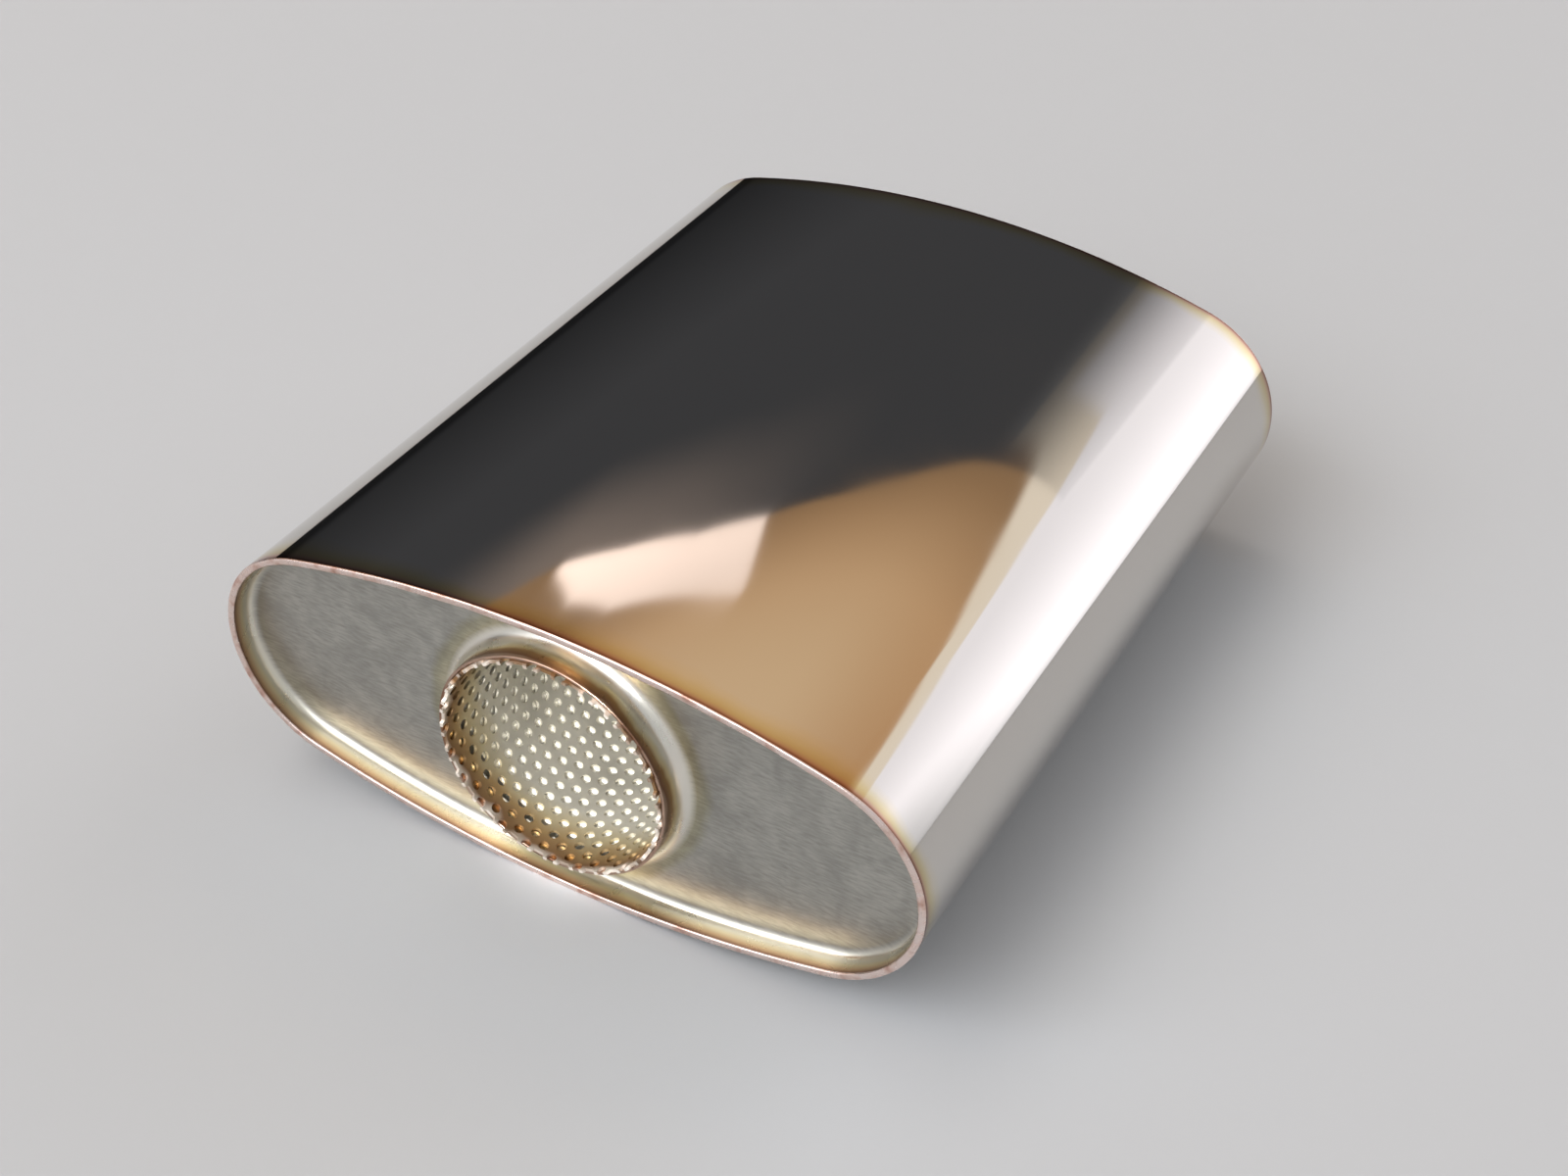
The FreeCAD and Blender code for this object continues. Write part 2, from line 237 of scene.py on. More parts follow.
def card_mesh(name, distance, compass, low, high):
    """A patch of a sphere: a point is distance * (sin a cos h, cos a cos h, sin h) at compass angle a, height h.

    low and high are its edges in degrees, one for each compass angle. Its UV map runs from 0 to 1 both ways.
    """
    share = np.linspace(0, 1, CARD_COLUMNS)
    rise = np.linspace(0, 1, CARD_ROWS)[:, None]
    angle = compass[0] + (compass[-1] - compass[0]) * share
    bottom = np.interp(angle, compass, low)
    height = np.radians(bottom + (np.interp(angle, compass, high) - bottom) * rise)
    angle = np.radians(angle)
    points = distance * np.stack(
        [np.sin(angle) * np.cos(height), np.cos(angle) * np.cos(height), np.sin(height)], axis=-1
    )
    quads = grid_quads(*height.shape, wrap_rows=False, wrap_columns=False)
    mesh = bpy.data.meshes.new(name)
    mesh.from_pydata(points.reshape(-1, 3), [], quads)
    place = np.stack(np.broadcast_arrays(share, rise), axis=-1).reshape(-1, 2)
    mesh.uv_layers.new(name="place").data.foreach_set("uv", place[quads].ravel())
    return mesh


def add_card(name, distance, compass, low, high, colour, light, feather):
    """Hang up a card that only the metal and the light see.

    light is two pairs (height angle, strength), and the strength changes evenly with height between them.
    feather is the share of the card's width or height over which it fades out at its left, right, lower and
    upper edge.
    """
    mesh = card_mesh(name, distance, compass, low, high)
    card = bpy.data.objects.new(name, mesh)
    card.visible_camera = False
    bpy.context.collection.objects.link(card)
    made, tree = new_material(name)
    axes = add_node(tree, "SeparateXYZ", {0: add_node(tree, "UVMap").outputs[0]})
    shown = 1.0
    for axis, edge, width in zip("XXYY", (0, 1, 0, 1), feather):
        inner = abs(edge - max(width, LEAST_FEATHER))
        fade = {"Value": axes.outputs[axis], "From Min": edge, "From Max": inner}
        faded = add_node(tree, "MapRange", fade, interpolation_type="SMOOTHSTEP").outputs[0]
        shown = add_node(tree, "Math", {0: faded, 1: shown}, operation="MULTIPLY").outputs[0]
    (low_angle, low_strength), (high_angle, high_strength) = light
    above_ground = add_node(tree, "SeparateXYZ", {0: add_node(tree, "TexCoord").outputs["Object"]}).outputs["Z"]
    low_end, high_end = (distance * math.sin(math.radians(angle)) for angle in (low_angle, high_angle))
    strength = add_node(
        tree, "MapRange", {"Value": above_ground, "From Min": low_end, "From Max": high_end,
                           "To Min": low_strength, "To Max": high_strength}
    ).outputs[0]
    glow = add_node(tree, "Emission", {"Color": linear(colour), "Strength": strength})
    clear = add_node(tree, "BsdfTransparent")
    mix = add_node(tree, "MixShader", {0: shown, 1: clear.outputs[0], 2: glow.outputs[0]})
    add_node(tree, "OutputMaterial", {"Surface": mix.outputs[0]})
    mesh.materials.append(made)


# %% [markdown]
# Seen from the photograph's angle, the top of the shell mirrors what stands behind it to the left. From the
# ground upwards that is a black card, which makes the top dark, and a warm one, which gives the tan wedge. The
# upper edge of the black card is written point by point, because the wedge has its shape. A thin smoky veil
# softens that edge, a pale patch stands where the dark meets the wedge, and a paler warm card lights the wedge's
# upper part.

# %% Cards that the top of the shell mirrors
CARD_DISTANCE = 12.0
HORIZON = -1.0

# Compass angle and height angle of the black card's upper edge, in degrees.
BLACK_TOP = {-125: 16, -75: 22, -50: 34, -42.3: 35.5, -38.4: 36.2, -34.2: 38, -28.3: 40, -23: 41, -16.8: 41.4,
             -11.5: 41.2, -6.4: 40.7, -1.6: 40.5, 8.3: 40}
compass, top = list(BLACK_TOP), np.array(list(BLACK_TOP.values()))
add_card(
    "smoke_card", CARD_DISTANCE - 0.2, compass[2:9], top[2:9] - 6, top[2:9], "#ffeadd", [(20, 0.3), (50, 0.3)],
    (0.35, 0.75, 1, 0),
)
add_card(
    "black_card", CARD_DISTANCE, compass, [HORIZON] * len(top), top, "#46474a", [(8, 0.22), (24, 1.05)],
    (0.2, 0.11, 0, 0.004),
)
add_card(
    "patch_card", CARD_DISTANCE + 0.2, [-39, -36.1, -32.2, -22.8, -19.8], [34, 36, 38, 41, 44.6],
    [36.2, 39.7, 41.9, 44.3, 44.7], "#ffe9dc", [(36, 2.2), (43, 1.45)], (0.05, 0.01, 0, 0.12),
)

# To the right of that edge the lower edge of the warm card rises, which bounds the wedge there.
right_edge = {0.5: 39.8, 2: 41.2, 4: 43.2, 6: 44.6, 9: 45.5, 30: 45.5}
warm_low = [*(top[:-1] - 1.5), *right_edge.values()]
add_card(
    "warm_card", CARD_DISTANCE + 0.4, [*compass[:-1], *right_edge], warm_low, [62] * len(warm_low), "#bc966f",
    [(41, 0.78), (45, 1.4)], (0.1, 0.1, 0.05, 0.1),
)
add_card(
    "pale_warm_card", CARD_DISTANCE + 0.3, [-52, 10], [41, 41], [62, 62], "#ffdcb0", [(40, 0.86), (60, 0.86)],
    (0.1, 0.3, 0.4, 0.1),
)
print("black card's upper edge,", len(BLACK_TOP), "points, up to", max(BLACK_TOP.values()), "degrees high")

# %% [markdown]
# The shoulder on the right mirrors what stands behind the muffler to the right: a white card draws the bright
# strip along it, and a cream one above it fills the strip's edge. The key card, in front to the left, and the top
# card, high on the left, light the front plate and the bead. Their light comes from a broad area, so it draws
# soft glints on the flare and no hard block on the shell.

# %% Cards for the shoulder and for the front
add_card(
    "white_card", CARD_DISTANCE + 0.6, [-3.5, 2.4, 5.5, 17, 28.7, 54], [-6] * 6, [38, 38, 42, 43.4, 42, 40],
    "#fbf9ff", [(12, 1.98), (40, 1.3)], (0.03, 0.2, 0.24, 0.01),
)
add_card(
    "cream_card", CARD_DISTANCE + 0.8, [-4, 60], [34, 34], [60, 60], "#f6ead8", [(0, 1.2), (60, 1.2)],
    (0, 0.3, 0, 0.3),
)
add_card(
    "key_card", CARD_DISTANCE + 0.5, [-205, -95], [4, 4], [62, 62], "#f8faff", [(25, 1.5), (46, 6.8)],
    (0.35, 0.35, 0.3, 0.25),
)
add_card(
    "top_card", CARD_DISTANCE, [-178, -36], [50, 50], [80, 80], "#fffaf4", [(0, 2.5), (90, 2.5)],
    (0.1, 0.1, 0.2, 0.3),
)
print("the cards stand about", CARD_DISTANCE, "m from the muffler, just outside the floor")

# %% [markdown]
# ## Surfaces from profiles
# Almost every piece here is a closed profile carried round a closed path, like a tyre. Its points are a grid:
# one row for each point of the profile, one column for each step round the path. Faces join neighbours in the
# grid and wrap round in both directions, so there is no open edge and no seam.

# %% Make one piece
SHARP_ANGLE = 35
BEAD_SHARP_ANGLE = 60


def enclosed_volume(points, quads):
    """Signed volume of a closed mesh: a sixth of the sum of a . (b x c) over its triangles."""
    a, b, c, d = (points[quads[:, i]] for i in range(4))
    return (np.einsum("ij,ij->", a, np.cross(b, c)) + np.einsum("ij,ij->", a, np.cross(c, d))) / 6


def add_piece(name, points, quads, replaced, sharp=SHARP_ANGLE):
    """Make a closed mesh from points in mm about the pipe axis, with faces outwards and edges sharp by angle."""
    volume = enclosed_volume(points, quads)
    if volume < 0:
        quads = quads[:, ::-1]
    mesh = bpy.data.meshes.new(name)
    mesh.vertices.add(len(points))
    mesh.vertices.foreach_set("co", ((points + [0, 0, AXIS_HEIGHT]) / 1000).ravel())
    mesh.loops.add(quads.size)
    mesh.loops.foreach_set("vertex_index", quads.astype(np.int32).ravel())
    mesh.polygons.add(len(quads))
    mesh.polygons.foreach_set("loop_start", np.arange(0, quads.size, 4, dtype=np.int32))
    mesh.update(calc_edges=True)
    mesh.shade_smooth()
    mesh.set_sharp_from_angle(angle=math.radians(sharp))
    piece = bpy.data.objects.new(name, mesh)
    bpy.context.collection.objects.link(piece)
    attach(piece, "root")
    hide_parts(replaced)
    print(f"{name}: {2 * len(quads)} triangles, {abs(volume) / 1000:.2f} cm3")
    return piece


# %% [markdown]
# The body's section is an oval of four arcs: two tight ones at the sides and two broad ones above and below,
# which run into each other without a corner. Such an oval is best followed by the direction of its outward
# normal. Moving every point in along that normal gives the same oval for the next sheet inside, so one function
# serves the shell, the plates, the packing and the welds.

# %% The oval
TIGHT_CENTRE = HALF_WIDTH - SHOULDER_RADIUS
BROAD_RADIUS = (TIGHT_CENTRE**2 + HALF_HEIGHT**2 - SHOULDER_RADIUS**2) / (2 * (HALF_HEIGHT - SHOULDER_RADIUS))
BROAD_DROP = BROAD_RADIUS - HALF_HEIGHT
TANGENCY = math.atan2(BROAD_DROP, TIGHT_CENTRE)
ROUNDING = 1e-9


def oval_turns(tight_steps, broad_steps):
    """Directions of the outward normal round the oval, with a step exactly where two arcs meet."""
    ends = [-TANGENCY, TANGENCY, math.pi - TANGENCY, math.pi + TANGENCY, 2 * math.pi - TANGENCY]
    steps = [tight_steps, broad_steps, tight_steps, broad_steps]
    return np.concatenate([np.linspace(a, b, n, endpoint=False) for a, b, n in zip(ends, ends[1:], steps)])


def oval(turns, inset):
    """X and Z of the oval moved in by inset: an arc's centre plus (radius - inset) times the normal."""
    normal_x, normal_z = np.cos(turns), np.sin(turns)
    tight = np.abs(normal_x) >= math.cos(TANGENCY) - ROUNDING
    centre_x = np.where(tight, TIGHT_CENTRE * np.sign(normal_x), 0)
    centre_z = np.where(tight, 0, -BROAD_DROP * np.sign(normal_z))
    radius = np.where(tight, SHOULDER_RADIUS, BROAD_RADIUS) - inset
    return centre_x + radius * normal_x, centre_z + radius * normal_z


def oval_length(turns):
    """Distance travelled along the outside of the oval up to each turn, and the whole way round."""
    x, z = oval(np.append(turns, turns[0] + 2 * math.pi), 0)
    travelled = np.concatenate([[0], np.cumsum(np.hypot(np.diff(x), np.diff(z)))])
    return travelled[:-1], travelled[-1]


fine_turns = oval_turns(tight_steps=160, broad_steps=120)
print(f"broad radius {BROAD_RADIUS:.1f} mm, way round {oval_length(fine_turns)[1]:.1f} mm")

# %% [markdown]
# ## Shell
# The shell is 1 mm stainless sheet rolled to the oval. Its profile is the sheet's own section along the pipe, a
# long thin rectangle. Its two long sides are cut into rows of about 6 mm, so that no face is a long sliver.

# %% Shell surface
SHELL_ROWS = 41
along = np.linspace(-RIM, RIM, SHELL_ROWS)
profile_inset = np.concatenate([np.zeros(along.size), np.full(along.size, SHEET)])
profile_y = np.concatenate([along, along[::-1]])
x, z = oval(fine_turns[None, :], profile_inset[:, None])
points = np.stack([x, np.broadcast_to(profile_y[:, None], x.shape), z], axis=-1).reshape(-1, 3)
shell = add_piece("polished_shell", points, grid_quads(*x.shape), "shell")

# %% [markdown]
# ## End plates
# Each plate is pressed from one sheet: a flange against the inside of the shell, a small bend, a flat recessed
# face, and a neck drawn outwards with a wide flare. The profile is followed as a pair of numbers: how far the
# point has moved from the oval to the circle, and its depth. On the oval it is measured by its inset, on the
# circle by its radius, and both skins keep one sheet's thickness between them. The neck's lip is rounded, and
# one row of points just above the bend keeps the bend's soft shading off the straight flange.

# %% Profile of the end plate
FACE = PLATE_BACK + SHEET
FLANGE_INSET = SHEET + FIT
NECK_BORE = CORE_RADIUS + FIT
EDGE_ROUND = 0.3
ABOVE_BEND = 1.0
BEND_STEPS, FLARE_STEPS, EDGE_STEPS = 14, 18, 5


def arc(centre_a, centre_y, radius, start, end, steps):
    """Pairs (distance across, depth) of an arc from start to end in degrees: its centre + radius (cos, sin)."""
    angle = np.radians(np.linspace(start, end, steps))
    return np.stack([centre_a + radius * np.cos(angle), centre_y + radius * np.sin(angle)], axis=1)


bend_centre = FLANGE_INSET + SHEET + CORNER_RADIUS, FACE + CORNER_RADIUS
flare_centre = NECK_BORE + SHEET + FLARE_RADIUS, FACE + FLARE_RADIUS
front_flange = np.concatenate([
    [[FLANGE_INSET + SHEET, RIM]],
    [[FLANGE_INSET + SHEET, FACE + CORNER_RADIUS + ABOVE_BEND]],
    arc(*bend_centre, CORNER_RADIUS, 180, 270, BEND_STEPS),
])
front_neck = np.concatenate([
    arc(*flare_centre, FLARE_RADIUS, 270, 180, FLARE_STEPS),
    arc(NECK_BORE + SHEET - EDGE_ROUND, NECK_END - EDGE_ROUND, EDGE_ROUND, 0, 90, EDGE_STEPS),
    arc(NECK_BORE + EDGE_ROUND, NECK_END - EDGE_ROUND, EDGE_ROUND, 90, 180, EDGE_STEPS),
    arc(*flare_centre, FLARE_RADIUS + SHEET, 180, 270, FLARE_STEPS),
])
back_flange = np.concatenate([
    arc(*bend_centre, CORNER_RADIUS + SHEET, 270, 180, BEND_STEPS),
    [[FLANGE_INSET, RIM]],
])
print(f"face {FACE:.2f} mm from the middle, {RIM - FACE:.2f} mm behind the rim")

# %% [markdown]
# Between the flange on the oval and the neck on the circle lies the flat face. Its rows of points go straight
# from the last point of one to the first point of the other, so the grid turns from oval to round by itself.

# %% Surface of the end plates
FACE_ROWS = 12
ENDS = ((-1, "front"), (1, "rear"))


def plate_points(end):
    """The plate's grid of points at one end of the muffler: -1 at the front, 1 at the rear."""
    oval_x, oval_z = oval(fine_turns, 0)
    polar = np.arctan2(oval_z, oval_x)
    rows = []
    for on_oval, pairs in ((True, front_flange), (False, front_neck), (True, back_flange)):
        across, depth = pairs[:, :1], pairs[:, 1:]
        if on_oval:
            px, pz = oval(fine_turns[None, :], across)
        else:
            px, pz = across * np.cos(polar), across * np.sin(polar)
        rows.append(np.stack([px, np.broadcast_to(depth, px.shape), pz], axis=-1))
    flange, neck, back = rows
    share = np.linspace(0, 1, FACE_ROWS + 2)[1:-1, None, None]
    face = flange[-1] + (neck[0] - flange[-1]) * share
    rear = neck[-1] + (back[0] - neck[-1]) * share
    grid = np.concatenate([flange, face, neck, rear, back])
    return grid * [1, end, 1]


plates = []
for end, side in ENDS:
    grid = plate_points(end)
    plates.append(
        add_piece(
            f"{side}_pressed_plate", grid.reshape(-1, 3), grid_quads(*grid.shape[:2]), f"{side}_end_plate",
        )
    )

# %% [markdown]
# ## Perforated core
# The tube is rolled from perforated sheet with 3 mm holes at 5 mm, staggered. Cutting thousands of holes with
# booleans is slow and leaves poor faces. The sheet is one pattern instead: a six-sided cell with a round hole,
# laid out like a honeycomb while the sheet is flat, then rolled up, cut off at both ends and given its wall.
# The cuts go through the first row of holes, 1 mm past their centres, which leaves the scalloped edge.

# %% The cell of the perforated sheet
COLUMNS = 50
HOLE_SETBACK = 1.0
ROW_PAIRS = 52
TUBE_TURN = -91.0
HOLE_SIDES = 12
MERGE_WITHIN = 0.01
column_step = 2 * math.pi * CORE_RADIUS / COLUMNS
pitch = 2 * (CORE_END - HOLE_SETBACK) / ROW_PAIRS
print(f"pitch along the tube {pitch:.3f} mm, between columns {column_step:.3f} mm")

# The border of a cell is as far from its own hole as from the next one: its corners are the centres of the
# circles through three neighbouring holes.
far_corner = (column_step**2 + pitch**2 / 4) / (2 * column_step)
near_corner = column_step - far_corner
corners = np.array([
    [far_corner, 0], [near_corner, pitch / 2], [-near_corner, pitch / 2],
    [-far_corner, 0], [-near_corner, -pitch / 2], [near_corner, -pitch / 2],
])
middles = (corners + np.roll(corners, -1, axis=0)) / 2
border = np.stack([corners, middles], axis=1).reshape(-1, 2)
hole_angle = 2 * math.pi * np.arange(HOLE_SIDES) / HOLE_SIDES
hole = HOLE_WIDTH / 2 * np.stack([np.cos(hole_angle), np.sin(hole_angle)], axis=1)
cell = np.concatenate([hole, border])
cell_quads = grid_quads(2, HOLE_SIDES, wrap_rows=False)

# %% Lay out the cells, roll them up and cut the ends
ring = np.arange(2 * ROW_PAIRS + 1)[:, None]
column = np.arange(COLUMNS // 2)[None, :]
centre_s = (2 * column + ring % 2) * column_step
centre_y = -(CORE_END - HOLE_SETBACK) + ring * pitch / 2 + 0 * column
centres = np.stack([centre_s, centre_y], axis=-1).reshape(-1, 1, 2)
flat = (centres + cell).reshape(-1, 2)
quads = (np.arange(len(centres))[:, None, None] * len(cell) + cell_quads).reshape(-1, 4)
angle = flat[:, 0] / CORE_RADIUS + math.radians(TUBE_TURN)
rolled = np.stack([CORE_RADIUS * np.cos(angle), flat[:, 1], CORE_RADIUS * np.sin(angle)], axis=1)

sheet_mesh = bpy.data.meshes.new("perforated_sheet")
sheet_mesh.from_pydata(rolled, [], quads)
work = bmesh.new()
work.from_mesh(sheet_mesh)
bmesh.ops.remove_doubles(work, verts=work.verts, dist=MERGE_WITHIN)
for end in (-1, 1):
    bmesh.ops.bisect_plane(
        work, geom=work.verts[:] + work.edges[:] + work.faces[:],
        plane_co=(0, end * CORE_END, 0), plane_no=(0, end, 0), clear_outer=True, dist=MERGE_WITHIN / 10,
    )
bmesh.ops.triangulate(work, faces=[f for f in work.faces if len(f.verts) > 4])
work.verts.index_update()
outer = np.array([v.co[:] for v in work.verts])
faces = [[v.index for v in f.verts] for f in work.faces]
work.free()
bpy.data.meshes.remove(sheet_mesh)
print(len(centres), "holes,", len(faces), "faces on one side of the sheet")

# %% [markdown]
# The sheet gets its wall by a copy one thickness further in. Every open edge, round a hole or at a cut end, is
# used by one face only, which is how numpy finds it and joins the two skins there.

# %% Give the tube its wall


def padded_quads(faces):
    """Faces of three or four corners as rows of four, where a triangle repeats its last corner."""
    return np.array([f if len(f) == 4 else [*f, f[-1]] for f in faces])


def thicken(outer, inner, quads):
    """Two skins joined by a wall along each open edge, which is one whose reverse no face uses."""
    count = len(outer)
    start, stop = quads.ravel(), np.roll(quads, -1, axis=1).ravel()
    real = start != stop
    start, stop = start[real], stop[real]
    open_edge = ~np.isin(start * count + stop, stop * count + start)
    a, b = start[open_edge], stop[open_edge]
    walls = np.stack([b, a, a + count, b + count], axis=1)
    return np.concatenate([outer, inner]), np.concatenate([quads, quads[:, ::-1] + count, walls])


skin = padded_quads(faces)
inner = outer * [(CORE_RADIUS - SHEET) / CORE_RADIUS, 1, (CORE_RADIUS - SHEET) / CORE_RADIUS]
core_points, core_quads = thicken(outer, inner, skin)
core_faces = [list(dict.fromkeys(quad)) for quad in core_quads.tolist()]
core_mesh = bpy.data.meshes.new("perforated_tube")
core_mesh.from_pydata((core_points + [0, 0, AXIS_HEIGHT]) / 1000, [], core_faces)
core_mesh.shade_smooth()
core_mesh.set_sharp_from_angle(angle=math.radians(SHARP_ANGLE))
core = bpy.data.objects.new("perforated_tube", core_mesh)
bpy.context.collection.objects.link(core)
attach(core, "root")
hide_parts("perforated_core")
print("perforated_tube:", sum(len(f) - 2 for f in core_faces), "triangles")

# %% [markdown]
# ## Fibre packing
# Behind the holes lies wound white fibre, which softens the sound. Only its inner skin is ever seen, in dots, so
# it needs an uneven surface there rather than thousands of strands. Its waves only sink into the packing, so
# that it stays clear of the tube. Its outer skin, which lies against the shell, needs only a few rows.

# %% Packing surface
FIBRE_BORE = CORE_RADIUS + FIT
FIBRE_SINK = 0.4
BORE_ROWS, SKIN_ROWS = 220, 13
rng = np.random.default_rng(12)


def waves(u, v, count, reach, rng):
    """Smooth noise from 0 to 1 that repeats round u: a sum of cosines of m u + k v + p, with whole numbers m.

    count is how many are added up, and reach is the highest m and k, so a higher one makes shorter waves.
    """
    total = np.zeros(np.broadcast(u, v).shape)
    for _ in range(count):
        turns, rows = rng.integers(-reach, reach + 1), rng.uniform(-reach, reach)
        total += np.cos(turns * u + rows * v + rng.uniform(0, 2 * math.pi))
    return 0.5 + 0.5 * total / np.abs(total).max()


fibre_turns = oval_turns(tight_steps=70, broad_steps=50)
polar = np.arctan2(*oval(fibre_turns, 0)[::-1])
bore_y = np.linspace(-FIBRE_END, FIBRE_END, BORE_ROWS)[:, None]
sink = FIBRE_SINK * waves(polar[None, :], bore_y / CORE_RADIUS, count=40, reach=30, rng=rng)
bore = np.stack([
    (FIBRE_BORE + sink) * np.cos(polar), np.broadcast_to(bore_y, sink.shape), (FIBRE_BORE + sink) * np.sin(polar)
], axis=-1)
skin_x, skin_z = oval(fibre_turns, FLANGE_INSET)
skin_y = np.linspace(FIBRE_END, -FIBRE_END, SKIN_ROWS)[:, None]
outside = np.stack(np.broadcast_arrays(skin_x, skin_y, skin_z), axis=-1)
grid = np.concatenate([bore, outside])
fibre = add_piece("packed_fibre", grid.reshape(-1, 3), grid_quads(*grid.shape[:2]), "fibre_packing")

# %% [markdown]
# ## Welds
# The rims are fused without filler: the edges of shell and flange melt into one rounded bead. A hand-held torch
# leaves it a little uneven, with a fine ripple where the pool froze step by step. The profile is two half
# ellipses, a high one outside and a flat one sunk into the sheets. Its height and width change slowly along the
# rim, with a quicker unevenness and the ripple on top, and its highest point is never past the CAD bead's.

# %% Rim beads
BEAD_HEIGHT = BEAD_END - RIM
BEAD_OVERLAP = 0.2
BEAD_WIDTH = 2 * SHEET + FIT + BEAD_OVERLAP
BEAD_INSET = 0.02
BEAD_SUNK = 0.35
BEAD_CORNERS = 18
RIPPLE_PITCH = 1.1
rim_turns = oval_turns(tight_steps=440, broad_steps=620)
travelled, way_round = oval_length(rim_turns)
ripples = round(way_round / RIPPLE_PITCH)
print(f"{ripples} ripples of {RIPPLE_PITCH} mm round each rim")

phase = 2 * math.pi * travelled / way_round
around = 2 * math.pi * np.arange(BEAD_CORNERS)[:, None] / BEAD_CORNERS
lift = np.sin(around)

# The shares of slow, quick and froze add up to 1 with the plain part, so a bead keeps within its full size.
for end, side in ENDS:
    slow = waves(phase, 0 * phase, count=14, reach=26, rng=rng)
    quick = waves(phase, 0 * phase, count=30, reach=150, rng=rng)
    froze = 0.5 + 0.5 * np.cos(ripples * phase + 3 * slow)
    height = BEAD_HEIGHT * (0.62 + 0.24 * slow + 0.1 * quick + 0.04 * froze)
    width = BEAD_WIDTH * (0.9 + 0.06 * slow + 0.04 * quick)
    depth = RIM + np.where(lift > 0, height * np.abs(lift) ** 0.8, BEAD_SUNK * lift)
    inset = BEAD_INSET + width / 2 * (1 - np.cos(around))
    x, z = oval(np.broadcast_to(rim_turns, inset.shape), inset)
    points = np.stack([x, end * depth, z], axis=-1).reshape(-1, 3)
    add_piece(f"{side}_rim_bead", points, grid_quads(*x.shape), f"{side}_rim_weld", BEAD_SHARP_ANGLE)

# %% [markdown]
# The lengthwise joint of the shell lies underneath. Its bead is a low lens in section, with the chevrons that a
# machine weld leaves, and it sinks a little into the sheet so that no gap shows beside it.

# %% Seam bead
seam_low, seam_high = box_mm("shell_seam_weld")
seam_middle = (seam_low[0] + seam_high[0]) / 2
SEAM_WIDTH = 3.0
SEAM_PROUD = 0.35
SEAM_SUNK = 0.15
CHEVRON_PITCH = 1.4
CHEVRON_DEPTH = 0.8
END_PROUD = 0.05
SAME_POINT = 0.0001
SEAM_ROWS, SEAM_COLUMNS = 700, 15
seam_y = np.concatenate([[-RIM], np.linspace(-RIM, RIM, SEAM_ROWS), [RIM]])[None, :]
across = np.linspace(-1, 1, SEAM_COLUMNS)[:, None]
chevron = 0.5 + 0.5 * np.cos(2 * math.pi * (seam_y + CHEVRON_DEPTH * across**2) / CHEVRON_PITCH)
proud = SEAM_PROUD * (1 - across**2) * (0.8 + 0.2 * chevron)
proud = np.concatenate([proud, np.full((SEAM_COLUMNS - 2, seam_y.size), -SEAM_SUNK)])
place = np.concatenate([across, across[-2:0:-1]]) * SEAM_WIDTH / 2 + seam_middle

# At each end of the seam the section shrinks to one point, which closes the end.
inside = np.ones(seam_y.size)
inside[[0, -1]] = 0
proud = END_PROUD + (proud - END_PROUD) * inside
place = seam_middle + (place - seam_middle) * inside
underside = BROAD_DROP - np.sqrt(BROAD_RADIUS**2 - place**2)
tilt = place / BROAD_RADIUS
points = np.stack([place + proud * tilt, np.broadcast_to(seam_y, proud.shape), underside - proud], axis=-1)
seam = add_piece(
    "seam_bead", points.reshape(-1, 3), grid_quads(*proud.shape, wrap_columns=False), "shell_seam_weld",
    BEAD_SHARP_ANGLE,
)
work = bmesh.new()
work.from_mesh(seam.data)
bmesh.ops.remove_doubles(work, verts=work.verts, dist=SAME_POINT / 1000)
work.to_mesh(seam.data)
work.free()

# %% [markdown]
# ## Polished stainless sheet
# Mirror-polished 304 sheet: a metal, so its colour is the tint of its reflections. Polishing leaves long faint
# waves, which bend what it mirrors, and handling leaves dull smears. Welding has coloured it along both rims:
# brown beside the bead, then copper, then straw, in a ragged band up to 12 mm wide. A noise's scale is how often
# it repeats in a metre, so it is 1000 over the pattern's size in millimetres.

# %% Where a point lies


def object_place(tree):
    """Outputs with the point's place in metres and with |Y|, its distance from the middle along the pipe."""
    place = add_node(tree, "TexCoord").outputs["Object"]
    axes = add_node(tree, "SeparateXYZ", {0: place})
    return place, add_node(tree, "Math", {0: axes.outputs["Y"]}, operation="ABSOLUTE").outputs[0]


# %% Material of the shell
STEEL = "#cdc9c4"
TINT_REACH = 10.0
TINT_PATCH = 36
SMEAR = 72
POLISH_WAVE = 62
WAVE_DEPTH = 0.006

shell_material, tree = new_material("mirror_polished_stainless")
place, from_middle = object_place(tree)
patchy = add_node(tree, "TexNoise", {"Vector": place, "Scale": 1000 / TINT_PATCH, "Detail": 3.0}).outputs["Fac"]
reach = add_node(
    tree, "MapRange", {"Value": patchy, "From Min": 0.3, "From Max": 0.7, "To Min": 0.55, "To Max": 1.25}
).outputs[0]
behind_rim = add_node(
    tree, "MapRange", {"Value": from_middle, "From Min": RIM / 1000, "From Max": (RIM - TINT_REACH) / 1000},
    clamp=False,
).outputs[0]
tint_place = add_node(tree, "Math", {0: behind_rim, 1: reach}, operation="DIVIDE").outputs[0]
tint = add_node(
    tree,
    "ValToRGB",
    {0: tint_place},
    stops=[
        (0.0, "#7a5648"), (1.0, STEEL), (0.05, "#8c6656"), (0.1, "#ab8878"), (0.16, "#b89f84"),
        (0.26, "#c1b18c"), (0.42, "#c8bd9e"), (0.7, "#cdc6b8"),
    ],
).outputs[0]
smears = add_node(
    tree, "TexNoise", {"Vector": place, "Scale": 1000 / SMEAR, "Detail": 4.0, "Distortion": 0.6}
).outputs["Fac"]
gloss = add_node(
    tree, "MapRange", {"Value": smears, "From Min": 0.35, "From Max": 0.75, "To Min": 0.03, "To Max": 0.075}
).outputs[0]
